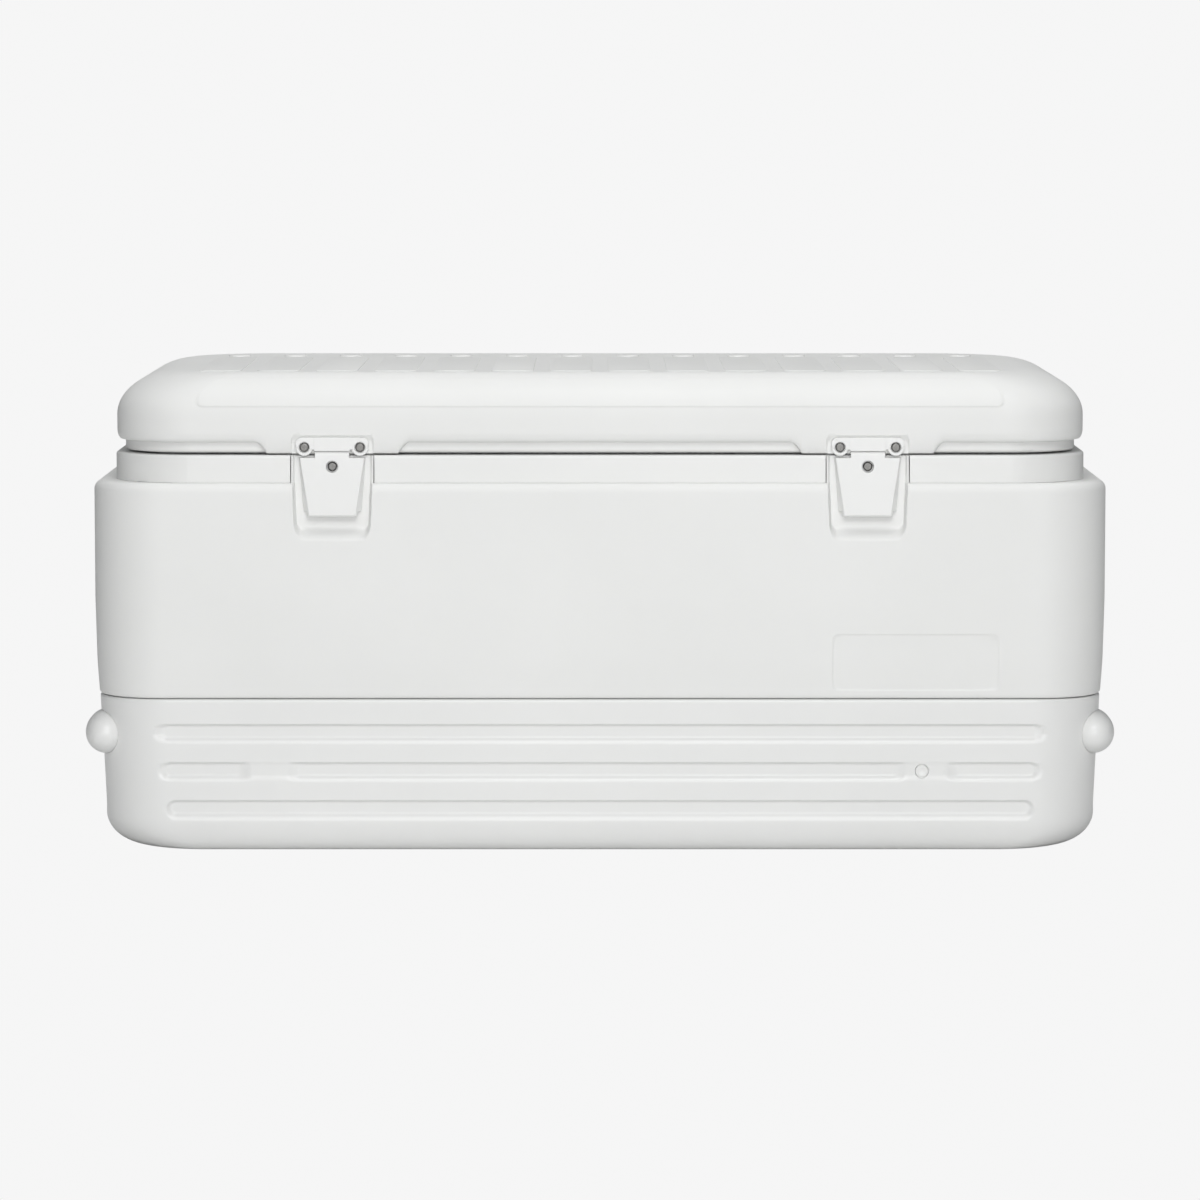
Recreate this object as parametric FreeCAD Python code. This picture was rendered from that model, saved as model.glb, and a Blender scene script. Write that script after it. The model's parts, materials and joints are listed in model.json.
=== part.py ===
import FreeCAD, Part
import math
import os

# Insulated cooler chest: two outer mouldings, a tub, a hinged lid with two latches, two bail
# handles and a drain.  Millimetres.  +X runs along the length, the front faces -Y, +Z is up, and
# the origin is the centre of the underside.

V = FreeCAD.Vector

# ---- overall ----
HALF_LENGTH = 477.5          # upper body, without the handle hubs
HALF_WIDTH = 216.0
CORNER = 66.0                # corner radius of body and base in plan

# ---- heights ----
TRAY_TOP = 142.8
BODY_BOTTOM = 145.0
LEDGE = 347.0                # flat top of the body's shoulder
COLLAR_BOTTOM = 347.2
COLLAR_TOP = 373.0
LIP_BOTTOM = 375.0           # underside of the lid liner's lip
LID_BOTTOM = 385.0
TAB_BOTTOM = 374.4           # lowered tabs of the lid behind the latches
LID_TOP = 451.0

# ---- base tray ----
TRAY_WALL = 5.0
TRAY_HALF_LENGTH = 473.5
TRAY_HALF_WIDTH = 213.5
EDGE_R = 30.0                # rounding of the bottom edge
UPSTAND_TOP = 154.0
CHANNELS = [(111.5, 417.0), (75.5, 413.0), (39.5, 408.0)]   # centre height, half length
CHANNEL_HALF = 9.6           # half height at the surface
CHANNEL_DEPTH = 3.0
PAD_SPANS = [(-331.0, -290.0), (284.0, 328.0)]
PORT_X = 302.0
PORT_Z = 76.0
PORT_R = 6.4
PORT_SINK = 2.2              # plug face below the surface
RIM_INSET = 7.5              # upstand of the tray inside the body shell
RIM_INNER = 11.0
RIM_HEIGHT = 9.0             # stiff band along the tray's top edge
BOSS_WALL = 1.0              # moulding left around pockets is this much under the wall

# ---- body shell ----
SHELL_WALL = 4.0
SHOULDER_R = 6.0
BADGE = (217.0, 374.0, 152.0, 206.0)     # x from, x to, z from, z to
BADGE_DEPTH = 0.9

# ---- tub liner ----
COLLAR_HALF_LENGTH = 457.5
COLLAR_HALF_WIDTH = 209.0
COLLAR_CORNER = 72.0
LINER_WALL = 3.5
MOUTH_HALF_LENGTH = 436.0
MOUTH_HALF_WIDTH = 180.0
FLOOR_Z = 40.0
MOUTH_CORNER = 50.0
BOWL_R = 9.0                 # rounding between the tub's floor and walls
FOAM_GAP = 0.4               # skin left between the foam and the mouldings around it

# ---- lid ----
LID_WALL = 5.0
LID_HALF_LENGTH = 456.5
LID_HALF_WIDTH = 209.0
LID_CROWN_R = 28.0           # rounding of the lid's top edge
PAD_RISE = 1.4               # height of the moulded pads above the lid's top
POCKET_DEPTH = 2.5
LIP_INSET = 8.0
PLUG_BOTTOM = 362.0
PLUG_HALF_LENGTH = 429.0
PLUG_HALF_WIDTH = 172.0
TAB_HALF = 62.5
RIDGE_PITCH = 55.0           # moulded pads on the lid's top
RIDGE_COUNT = 14

# ---- latches ----
LATCH_X = 250.0
RECESS_FLOOR = 205.5         # distance of the recess floor from the middle plane
RECESS_HALF = 38.5           # at the top; the sides lean in towards the bottom
RECESS_LEAN = 3.0
RECESS_PAD = 4.0             # thickness of the recess floor behind the collar
RECESS_BOTTOM = 293.0
LATCH_FACE = 213.5
LATCH_AXIS_Z = 373.5
BARREL_R = 3.0
BARREL_HALF = 16.0
EAR_FACE = 210.6
TONGUE_BACK = 206.4          # rear edge of the tongue's side flanges
TONGUE_SKIN = 211.0          # inner face of the tongue's front wall
EAR_X = 26.0
EAR_Z = 380.5
EAR_R = 8.0
PLATE_TOP = 389.5
POST_Z = 362.5
POST_R = 6.0
TONGUE_BOTTOM = 311.5
TONGUE_HALF_TOP = 31.0
TONGUE_HALF_LOW = 25.5
TONGUE_HOLE_R = 5.6
TONGUE_TOP_DROP = 2.8        # top of the tongue below its axis
SOCKET_HALF = 17.0
SWING_RISE = 3.4             # room above the axis for the tongue to swing
POST_HEIGHT = 2.6
POST_SCREW_LENGTH = 12.0
POST_SHANK_R = 2.0
EAR_SHANK = 6.4              # length of the plate screws under their heads

# ---- rear hinges ----
HINGE_XS = [("left", -300.0), ("middle", 0.0), ("right", 300.0)]
HINGE_Y = 211.4
HINGE_Z = 379.0
KNUCKLE_R = 4.4
HINGE_PIN_R = 1.9
FIT = 0.06                   # radial running clearance of every pin
SCREW_R = 1.8
SCREW_HEAD_R = 4.4
HINGE_BODY_SCREW_Z = 360.0
HINGE_LID_SCREW_Z = 398.0
HINGE_SCREW_X = 20.0         # each side of the middle of a leaf
HINGE_HALF = 30.0            # half length of a leaf
LEAF = 2.6                   # thickness of a leaf
KNUCKLE_HALF = 12.0          # half length of the lid leaf's knuckle
PIN_HALF = 29.5
SCREW_HEAD = 2.3             # height of a pan head
CROSS_HALF = 2.3             # half length and half width of a cross recess
CROSS_SLOT = 0.55

# ---- handles ----
HUB_X = 466.0
HUB_Z = 108.5
HUB_R = 20.5
HUB_FRONT = 205.0
HUB_SHOULDER = 168.0
HUB_NOSE_R = 13.0
HUB_BACK = 146.0
LUG_R = 10.0
LUG_LENGTH = 12.0             # of the fixed lugs that hold the pivot pins
PIN_REACH = 34.0              # length of a pivot pin inside its hub
HUB_GAP = 0.6
PIVOT_R = 4.0
RECESS_X = 448.0
RECESS_HALF_WIDTH = 162.0
RECESS_LOW = 28.0
RECESS_HIGH = 128.0
GRIP_X = 458.2
GRIP_Z = 50.0
ARM_Y = 154.0
ARM_R = 7.5
GRIP_R = 9.2
GRIP_HALF = 70.0
GRIP_BEND = 20.0             # centreline radius of the bar's corners
RIB_RISE = 0.5
RIB_PITCH = 14.0
RIB_COUNT = 10
RIB_WIDTH = 4.0

# ---- drain ----
DRAIN_X = 340.0
DRAIN_Z = 64.5
FLANGE_R = 15.0
DRAIN_BORE = 9.0
THREAD_R = 12.0
DRAIN_POCKET_HALF = 28.0
DRAIN_POCKET_FLOOR = 190.0
DRAIN_SEAT = 180.0           # inner face of the tub's rear wall at the drain
DRAIN_TIP = 207.0
NUT_LENGTH = 4.0
CAP_LENGTH = 17.5
THREAD_RINGS = 4
THREAD_PITCH = 2.6
THREAD_RISE = 0.8
FLANGE = 3.0
SEAL = 2.5
NUT_R = 19.0                 # over the corners of the hexagon
CAP_R = 17.0
CAP_RIBS = 18
CAP_RIB_R = 1.4
CAP_CLEARANCE = 0.6          # between nut and cap
CAP_SEAL = 2.0


def outline(z, half_x, half_y, radius):
    """Closed rounded rectangle at height z."""
    a = half_x - radius
    b = half_y - radius
    k = radius * math.sqrt(0.5)
    edges = []
    corners = [(a, b, 0), (-a, b, 90), (-a, -b, 180), (a, -b, 270)]
    for i, (cx, cy, start) in enumerate(corners):
        t = math.radians(start)
        c, s = round(math.cos(t)), round(math.sin(t))
        first = V(cx + radius * c, cy + radius * s, z)
        middle = V(cx + k * (c - s), cy + k * (s + c), z)
        last = V(cx - radius * s, cy + radius * c, z)
        edges.append(Part.Arc(first, middle, last).toShape())
        nx, ny, nstart = corners[(i + 1) % 4]
        t = math.radians(nstart)
        follow = V(nx + radius * round(math.cos(t)), ny + radius * round(math.sin(t)), z)
        edges.append(Part.LineSegment(last, follow).toShape())
    return Part.Wire(edges)


def block(half_x, half_y, radius, z0, z1):
    """Upright prism over a rounded rectangle."""
    return Part.Face(outline(z0, half_x, half_y, radius)).extrude(V(0, 0, z1 - z0))


def soften(solid, radius, z):
    """Round the edges whose middle lies at height z."""
    return solid.makeFillet(radius, [e for e in solid.Edges if abs(e.CenterOfMass.z - z) < 0.01])


def soften_along(solid, radius, axis, low=-1e9, high=1e9):
    """Round the straight edges along axis (0, 1 or 2) whose middle height is between low and high."""
    edges = [e for e in solid.Edges if abs(e.tangentAt(e.FirstParameter)[axis]) > 0.99
             and low < e.CenterOfMass.z < high]
    return solid.makeFillet(radius, edges)


def box(x0, x1, y0, y1, z0, z1):
    return Part.makeBox(x1 - x0, y1 - y0, z1 - z0, V(x0, y0, z0))


def rod(x, y, z, radius, length, axis):
    return Part.makeCylinder(radius, length, V(x, y, z), axis)


def join(first, *others):
    return first.fuse(list(others)).removeSplitter()


def trim(solid, *tools):
    return solid.cut(list(tools))


def plate_outline(points, y):
    """Closed polygon in the XZ plane at y."""
    return Part.Wire(Part.makePolygon([V(x, y, z) for x, z in points + points[:1]]))


def prism(points, y0, y1):
    """Polygon of (x, z) points, extruded from y0 to y1."""
    return Part.Face(plate_outline(points, y0)).extrude(V(0, y1 - y0, 0))


def prism_x(points, x0, x1):
    """Polygon of (y, z) points, extruded from x0 to x1."""
    wire = Part.makePolygon([V(x0, y, z) for y, z in points + points[:1]])
    return Part.Face(wire).extrude(V(x1 - x0, 0, 0))


def stadium(x0, x1, z, half, y):
    """Closed stadium in the XZ plane at y, from x0 to x1, of half height half."""
    a, b = x0 + half, x1 - half
    top = Part.LineSegment(V(a, y, z + half), V(b, y, z + half)).toShape()
    right = Part.Arc(V(b, y, z + half), V(b + half, y, z), V(b, y, z - half)).toShape()
    low = Part.LineSegment(V(b, y, z - half), V(a, y, z - half)).toShape()
    left = Part.Arc(V(a, y, z - half), V(a - half, y, z), V(a, y, z + half)).toShape()
    return Part.Wire([top, right, low, left])


# ------------------------------------------------------------------ base tray

def channel_tool(x0, x1, z, side):
    """Long round-ended channel in the front (side -1) or back (side 1)."""
    y = side * (TRAY_HALF_WIDTH - CHANNEL_DEPTH)
    return Part.Face(stadium(x0, x1, z, CHANNEL_HALF, y)).extrude(V(0, side * 10.0, 0))


def hub_solid(side, front, gap=0.0):
    """Barrel hub at one end of the chest, at the front (front=1) or back (front=-1) corner."""
    cone_length = HUB_FRONT - HUB_SHOULDER
    cone = Part.makeCone(HUB_NOSE_R + gap, HUB_R + gap, cone_length + gap,
                         V(0, -HUB_FRONT - gap, 0), V(0, 1, 0))
    nose = [e for e in cone.Edges if abs(e.CenterOfMass.y + HUB_FRONT + gap) < 0.01]
    cone = cone.makeFillet(HUB_NOSE_R - 2.0, nose)
    drum = rod(0, -HUB_SHOULDER, 0, HUB_R + gap, HUB_SHOULDER - HUB_BACK + gap, V(0, 1, 0))
    solid = join(cone, drum)
    if front < 0:
        solid.rotate(V(0, 0, 0), V(0, 0, 1), 180)
    solid.translate(V(side * HUB_X, 0, HUB_Z))
    return solid


def handle_boss(side, front):
    """Lug in the end recess that holds the outer half of a pivot pin."""
    y0 = -HUB_BACK + 1.0 if front > 0 else HUB_BACK - 1.0 - LUG_LENGTH
    lug = rod(side * HUB_X, y0, HUB_Z, LUG_R, LUG_LENGTH, V(0, 1, 0))
    x0, x1 = sorted((side * (RECESS_X - 4.0), side * HUB_X))
    return join(lug, box(x0, x1, y0, y0 + LUG_LENGTH, HUB_Z - LUG_R, HUB_Z + LUG_R))


def pivot_pins(side):
    """Two pins of one handle, from the lug into the hub."""
    held = LUG_LENGTH + 1.0
    starts = (-HUB_BACK - PIN_REACH, HUB_BACK - held)
    return Part.Compound([rod(side * HUB_X, y0, HUB_Z, PIVOT_R, PIN_REACH + held, V(0, 1, 0))
                          for y0 in starts])


def end_recess(side, grow=0.0):
    x0, x1 = sorted((side * (RECESS_X - grow), side * (HALF_LENGTH + 20.0)))
    cut = box(x0, x1, -RECESS_HALF_WIDTH - grow, RECESS_HALF_WIDTH + grow,
              RECESS_LOW - grow, RECESS_HIGH + grow)
    return soften_along(cut, 16.0 + grow, 0)


def tray_cavity(inset, top):
    """Hollow of the tray, left solid around the handle recesses, the hubs and the drain pocket."""
    hollow = block(TRAY_HALF_LENGTH - inset, TRAY_HALF_WIDTH - inset, CORNER - inset, inset, top)
    hollow = soften(hollow, EDGE_R - inset, inset)
    grow = inset - BOSS_WALL
    keep = [end_recess(side, grow) for side in (-1, 1)]
    keep += [hub_solid(side, front, grow) for side in (-1, 1) for front in (1, -1)]
    return trim(hollow, drain_pocket(grow), *keep)


def tray_ring(outer, inner, z0, z1):
    """Upright ring inset from the tray's outline by outer and inner."""
    def inset_block(inset, low, high):
        return block(TRAY_HALF_LENGTH - inset, TRAY_HALF_WIDTH - inset, CORNER - inset, low, high)

    return trim(inset_block(outer, z0, z1), inset_block(inner, z0 - 1.0, z1 + 1.0))


def channel_spans(number, half, side):
    """Stretches of one channel; the middle one stops at the front pads and the drain pocket."""
    if number != 1:
        return [(-half, half)]
    gaps = PAD_SPANS if side < 0 else [(DRAIN_X - 50.0, DRAIN_X + 50.0)]
    stops = [-half] + [x for gap in gaps for x in gap] + [half]
    return list(zip(stops[0::2], stops[1::2]))


def base_tray():
    outside = block(TRAY_HALF_LENGTH, TRAY_HALF_WIDTH, CORNER, 0.0, TRAY_TOP)
    tray = trim(soften(outside, EDGE_R, 0.0), tray_cavity(TRAY_WALL, TRAY_TOP + 1.0))
    rim_low = TRAY_TOP - RIM_HEIGHT
    tray = join(tray, tray_ring(2.0, RIM_INNER, rim_low, TRAY_TOP - 1.0),
                tray_ring(RIM_INSET, RIM_INNER, rim_low, UPSTAND_TOP))
    cuts = [end_recess(side) for side in (-1, 1)]
    cuts += [hub_solid(side, front, HUB_GAP) for side in (-1, 1) for front in (1, -1)]
    cuts.append(drain_pocket(0.0))
    for side in (-1, 1):
        for number, (z, half) in enumerate(CHANNELS):
            cuts += [channel_tool(x0, x1, z, side) for x0, x1 in channel_spans(number, half, side)]
    cuts.append(rod(PORT_X, -HALF_WIDTH, PORT_Z, PORT_R, 20.0, V(0, 1, 0)))
    cuts.append(rod(DRAIN_X, DRAIN_POCKET_FLOOR - 8.0, DRAIN_Z, THREAD_R, 12.0, V(0, 1, 0)))
    tray = trim(tray, *cuts)
    tray = join(tray, *[handle_boss(side, front) for side in (-1, 1) for front in (1, -1)])
    return trim(tray, pivot_pins(-1), pivot_pins(1))


def port_plug():
    """Plug pressed into the foam port, a little below the surface."""
    return rod(PORT_X, -TRAY_HALF_WIDTH + PORT_SINK, PORT_Z, PORT_R, 2.4, V(0, 1, 0))


# ------------------------------------------------------------------ body shell

def recess_shape(x, grow, y0, y1):
    """Latch recess as a tapered, round-cornered prism."""
    top = RECESS_HALF + grow
    low = RECESS_HALF - RECESS_LEAN + grow
    points = [(x - top, COLLAR_TOP + 8.0), (x - low, RECESS_BOTTOM - grow),
              (x + low, RECESS_BOTTOM - grow), (x + top, COLLAR_TOP + 8.0)]
    solid = prism(points, y0, y1)
    return soften_along(solid, 9.0 + grow, 1, 0.0, LEDGE)


def body_shell():
    outside = soften(block(HALF_LENGTH, HALF_WIDTH, CORNER, BODY_BOTTOM, LEDGE), SHOULDER_R, LEDGE)
    outside = soften(outside, 2.0, BODY_BOTTOM)
    inside = body_cavity(SHELL_WALL, BODY_BOTTOM - 1.0)
    rim = (COLLAR_HALF_LENGTH - 7.5, RECESS_FLOOR - 4.0, COLLAR_CORNER - 8.0)
    shell = trim(outside, inside, block(*rim, LEDGE - 10.0, LEDGE + 10.0))
    for x in (-LATCH_X, LATCH_X):
        shell = trim(shell, recess_shape(x, 0.0, -HALF_WIDTH - 5.0, -RECESS_FLOOR))
        pad = box(x - RECESS_HALF, x + RECESS_HALF, -RECESS_FLOOR, -RECESS_FLOOR + RECESS_PAD,
                  LEDGE - 12.0, COLLAR_TOP - 0.6)
        foot, lift = -HALF_WIDTH, RECESS_BOTTOM - 1.0
        ramp = prism_x([(foot, lift), (-RECESS_FLOOR + 0.5, lift), (-RECESS_FLOOR + 0.5, lift + 13.0)],
                       x - RECESS_HALF + 3.5, x + RECESS_HALF - 3.5)
        shell = join(shell, pad, ramp)
        shell = trim(shell, rod(x, -RECESS_FLOOR - 1.0, POST_Z, POST_SHANK_R, 20.0, V(0, 1, 0)))
    x0, x1, z0, z1 = BADGE
    badge = box(x0, x1, -HALF_WIDTH - 4.0, -HALF_WIDTH + BADGE_DEPTH, z0, z1)
    return trim(shell, soften_along(badge, 7.0, 1))


def body_cavity(inset, low):
    """Hollow of the body shell, left solid behind the latch recesses."""
    hollow = block(HALF_LENGTH - inset, HALF_WIDTH - inset, CORNER - inset, low, LEDGE - inset)
    backs = [recess_shape(x, inset, -HALF_WIDTH - 5.0, -RECESS_FLOOR + inset)
             for x in (-LATCH_X, LATCH_X)]
    return trim(hollow, *backs)


# ------------------------------------------------------------------ tub liner and foam

def tub(grow):
    """Inside of the tub, or its outside when grow is the wall."""
    solid = block(MOUTH_HALF_LENGTH + grow, MOUTH_HALF_WIDTH + grow, MOUTH_CORNER + grow,
                  FLOOR_Z - grow, COLLAR_TOP + 5.0)
    return soften(solid, BOWL_R + grow, FLOOR_Z - grow)


def collar(inset, z0, z1):
    return block(COLLAR_HALF_LENGTH - inset, COLLAR_HALF_WIDTH - inset, COLLAR_CORNER - inset, z0, z1)


def tub_liner():
    rim = soften(collar(0.0, COLLAR_BOTTOM, COLLAR_TOP), 2.4, COLLAR_TOP)
    rim = trim(rim, collar(LINER_WALL, COLLAR_BOTTOM - 1.0, COLLAR_TOP - LINER_WALL))
    cup = trim(tub(LINER_WALL), box(-600, 600, -300, 300, COLLAR_TOP - 1.0, COLLAR_TOP + 10.0))
    half, back = RECESS_HALF + 0.8, -RECESS_FLOOR + RECESS_PAD + 0.6
    notches = [box(x - half, x + half, -HALF_WIDTH, back, COLLAR_BOTTOM - 1.0, COLLAR_TOP + 1.0)
               for x in (-LATCH_X, LATCH_X)]
    drain = rod(DRAIN_X, MOUTH_HALF_WIDTH - 30.0, DRAIN_Z, THREAD_R, 60.0, V(0, 1, 0))
    leaf_holes = hinge_holes(HINGE_BODY_SCREW_Z)
    return trim(join(rim, cup), tub(0.0), drain, *notches, *leaf_holes)


def body_foam():
    """Insulation between the tub and the outer mouldings."""
    rim_low = TRAY_TOP - RIM_HEIGHT
    low = tray_cavity(TRAY_WALL + FOAM_GAP, rim_low - 0.2)
    waist = RIM_INNER + FOAM_GAP
    middle = block(TRAY_HALF_LENGTH - waist, TRAY_HALF_WIDTH - waist, CORNER - waist,
                   rim_low - 0.6, UPSTAND_TOP + 1.0)
    high = body_cavity(SHELL_WALL + FOAM_GAP, UPSTAND_TOP + FOAM_GAP)
    hollows = [tub(LINER_WALL + FOAM_GAP)]
    hollows += [rod(x, -HALF_WIDTH, POST_Z, 4.0, 40.0, V(0, 1, 0)) for x in (-LATCH_X, LATCH_X)]
    hollows.append(rod(DRAIN_X, MOUTH_HALF_WIDTH - 30.0, DRAIN_Z, THREAD_R + FOAM_GAP, 60.0, V(0, 1, 0)))
    return trim(join(low, middle, high), *hollows)


# ------------------------------------------------------------------ drain, low on the rear wall

def drain_pocket(grow):
    half = DRAIN_POCKET_HALF + grow
    cut = box(DRAIN_X - half, DRAIN_X + half, DRAIN_POCKET_FLOOR - grow, HALF_WIDTH + 10.0,
              DRAIN_Z - half, DRAIN_Z + half)
    return soften_along(cut, 10.0, 1)


def drain_rod(y, radius, length):
    """Cylinder on the drain's axis, from y."""
    return rod(DRAIN_X, y, DRAIN_Z, radius, length, V(0, 1, 0))


def drain_spigot():
    """Flanged tube through both walls, with thread crests near its tip."""
    start = DRAIN_SEAT - SEAL - FLANGE
    crests = [drain_rod(DRAIN_TIP - 3.0 - THREAD_PITCH * i, THREAD_R + THREAD_RISE, 1.2)
              for i in range(THREAD_RINGS)]
    tube = drain_rod(start, THREAD_R - 0.2, DRAIN_TIP - start)
    return trim(join(drain_rod(start, FLANGE_R, FLANGE), tube, *crests),
                drain_rod(start - 5.0, DRAIN_BORE, 90.0))


def drain_seal():
    return trim(drain_rod(DRAIN_SEAT - SEAL, FLANGE_R - 0.5, SEAL),
                drain_rod(DRAIN_SEAT - SEAL - 0.5, THREAD_R, 6.0))


def around_drain(radius, count):
    """Points spaced evenly around the drain's axis."""
    angles = [2.0 * math.pi * i / count for i in range(count)]
    return [(DRAIN_X + radius * math.cos(a), DRAIN_Z + radius * math.sin(a)) for a in angles]


def drain_nut():
    y = DRAIN_POCKET_FLOOR
    return trim(prism(around_drain(NUT_R, 6), y, y + NUT_LENGTH), drain_rod(y - 1.0, THREAD_R, 9.0))


def drain_cap():
    y = DRAIN_POCKET_FLOOR + NUT_LENGTH + CAP_CLEARANCE
    drum = drain_rod(y, CAP_R, CAP_LENGTH)
    drum = drum.makeFillet(1.5, [e for e in drum.Edges if e.CenterOfMass.y > y + CAP_LENGTH - 0.1])
    ribs = [rod(x, y + 2.0, z, CAP_RIB_R, CAP_LENGTH - 4.0, V(0, 1, 0))
            for x, z in around_drain(CAP_R + 0.2, CAP_RIBS)]
    hollow = drain_rod(y - 1.0, THREAD_R + THREAD_RISE + 0.3, DRAIN_TIP + CAP_SEAL + 0.3 - y + 1.0)
    return trim(join(drum, *ribs), hollow)


def drain_cap_seal():
    return trim(drain_rod(DRAIN_TIP + 0.2, THREAD_R + 0.6, CAP_SEAL), drain_rod(DRAIN_TIP - 1.0, 5.0, 6.0))


# ------------------------------------------------------------------ lid

def lid_block(inset, z0, z1):
    solid = block(LID_HALF_LENGTH - inset, LID_HALF_WIDTH - inset, COLLAR_CORNER - inset, z0, z1)
    return soften(solid, LID_CROWN_R - inset, z1)


def latch_pocket(x, depth, z1):
    """Shallow pocket in the lid's front for a latch plate."""
    pocket = box(x - RECESS_HALF, x + RECESS_HALF, -HALF_WIDTH - 5.0, -LID_HALF_WIDTH + depth,
                 TAB_BOTTOM - 2.0, z1)
    return soften_along(pocket, 5.0, 1, LID_BOTTOM)


def lid_tab(x):
    """Lowered stretch of the lid's front wall behind a latch."""
    half = TAB_HALF
    foot = half - 1.0
    points = [(x - half - 8.0, LID_BOTTOM + 2.0), (x - half - 8.0, LID_BOTTOM), (x - foot, TAB_BOTTOM),
              (x + foot, TAB_BOTTOM), (x + half + 8.0, LID_BOTTOM), (x + half + 8.0, LID_BOTTOM + 2.0)]
    solid = prism(points, -LID_HALF_WIDTH, -LID_HALF_WIDTH + LID_WALL)
    return soften_along(solid, 6.0, 1, 0.0, LID_BOTTOM - 1.0)


def top_pads():
    """Raised pads and round studs moulded into the lid's top."""
    pads = []
    for i in range(RIDGE_COUNT):
        x = (i - (RIDGE_COUNT - 1) / 2.0) * RIDGE_PITCH
        pads.append(soften_along(box(x - 20.0, x + 20.0, -140.0, 92.0, LID_TOP - 3.0, LID_TOP), 8.0, 2))
        pads.append(rod(x, 122.0, LID_TOP - 3.0, 11.0, 3.0, V(0, 0, 1)))
    return pads


def lid_shell():
    shell = trim(lid_block(0.0, LID_BOTTOM, LID_TOP - PAD_RISE),
                 lid_block(LID_WALL, LID_BOTTOM - 1.0, LID_TOP - PAD_RISE - LID_WALL))
    shell = join(shell, *[lid_tab(x) for x in (-LATCH_X, LATCH_X)])
    shell = join(shell, *top_pads())
    cuts = [latch_pocket(x, POCKET_DEPTH, PLATE_TOP + 0.6) for x in (-LATCH_X, LATCH_X)]
    cuts += [rod(x + ear, -EAR_FACE, EAR_Z, SCREW_R, EAR_SHANK, V(0, 1, 0))
             for x in (-LATCH_X, LATCH_X) for ear in (-EAR_X, EAR_X)]
    return trim(shell, *cuts, *hinge_holes(HINGE_LID_SCREW_Z))


def lid_liner():
    """Pan that closes the lid from below; its lip stands out under the lid's edge."""
    x, y, r = LID_HALF_LENGTH - LIP_INSET, LID_HALF_WIDTH - LIP_INSET, COLLAR_CORNER - LIP_INSET
    lip = soften(block(x, y, r, LIP_BOTTOM, LID_BOTTOM), 2.5, LIP_BOTTOM)
    plug = block(PLUG_HALF_LENGTH, PLUG_HALF_WIDTH, MOUTH_CORNER - 4.0, PLUG_BOTTOM, LIP_BOTTOM + 3.0)
    plug = soften(plug, 4.0, PLUG_BOTTOM)
    pan = block(PLUG_HALF_LENGTH - 5.0, PLUG_HALF_WIDTH - 5.0, MOUTH_CORNER - 9.0,
                PLUG_BOTTOM + LINER_WALL, LID_BOTTOM + 1.0)
    return trim(join(lip, plug), pan)


def lid_foam():
    inset = LID_WALL + FOAM_GAP
    core = lid_block(inset, LID_BOTTOM + FOAM_GAP, LID_TOP - PAD_RISE - inset)
    filling = block(PLUG_HALF_LENGTH - 5.5, PLUG_HALF_WIDTH - 5.5, MOUTH_CORNER - 9.5,
                    PLUG_BOTTOM + LINER_WALL + FOAM_GAP, LID_BOTTOM + 1.0)
    return join(core, filling)


# ------------------------------------------------------------------ latches

def pan_screw(x, y, z, out, shank, radius):
    """Pan-head screw with a cross recess; out is -1 when the head faces the front, 1 the rear."""
    head = rod(x, y, z, SCREW_HEAD_R, SCREW_HEAD, V(0, out, 0))
    crown = [e for e in head.Edges if abs(e.CenterOfMass.y - (y + out * SCREW_HEAD)) < 0.01]
    head = head.makeFillet(1.6, crown)
    stem = rod(x, y, z, radius, shank, V(0, -out, 0))
    y0, y1 = sorted((y + out * 1.1, y + out * 4.0))
    arms = ((CROSS_HALF, CROSS_SLOT), (CROSS_SLOT, CROSS_HALF))
    cross = [box(x - a, x + a, y0, y1, z - b, z + b) for a, b in arms]
    return trim(head.fuse(stem), *cross)


def latch_plate(x):
    """Fixed half of a latch: a bridge with two screw ears and a socket for the tongue's barrel."""
    back = -LID_HALF_WIDTH + POCKET_DEPTH
    face = -EAR_FACE
    parts = [box(x - EAR_X, x + EAR_X, face, back, EAR_Z, PLATE_TOP)]
    for ear in (-EAR_X, EAR_X):
        parts.append(rod(x + ear, face, EAR_Z, EAR_R, back - face, V(0, 1, 0)))
    parts.append(box(x - 16.6, x + 16.6, -LATCH_FACE, back, LATCH_AXIS_Z + 0.4, PLATE_TOP))
    plate = join(*parts)
    for ear in (-EAR_X, EAR_X):
        ring = trim(rod(x + ear, -HALF_WIDTH, EAR_Z, EAR_R + 1.5, 20.0, V(0, 1, 0)),
                    rod(x + ear, -HALF_WIDTH - 1.0, EAR_Z, EAR_R, 22.0, V(0, 1, 0)))
        inward = 1 if ear < 0 else -1
        x0, x1 = sorted((x + ear + inward * 4.0, x + ear + inward * 12.0))
        gap = ring.common(box(x0, x1, -HALF_WIDTH, -HALF_WIDTH + 20.0, EAR_Z - 12.0, EAR_Z + 4.0))
        plate = trim(plate, gap, rod(x + ear, face - 1.0, EAR_Z, SCREW_R, 12.0, V(0, 1, 0)))
    centre_y = -LATCH_FACE + BARREL_R
    socket = rod(x - SOCKET_HALF, centre_y, LATCH_AXIS_Z, BARREL_R + FIT, 2.0 * SOCKET_HALF, V(1, 0, 0))
    swing = box(x - SOCKET_HALF, x + SOCKET_HALF, -LATCH_FACE - 1.0, centre_y, LATCH_AXIS_Z - 5.0,
                LATCH_AXIS_Z + SWING_RISE)
    return trim(plate, socket, swing)


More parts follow.
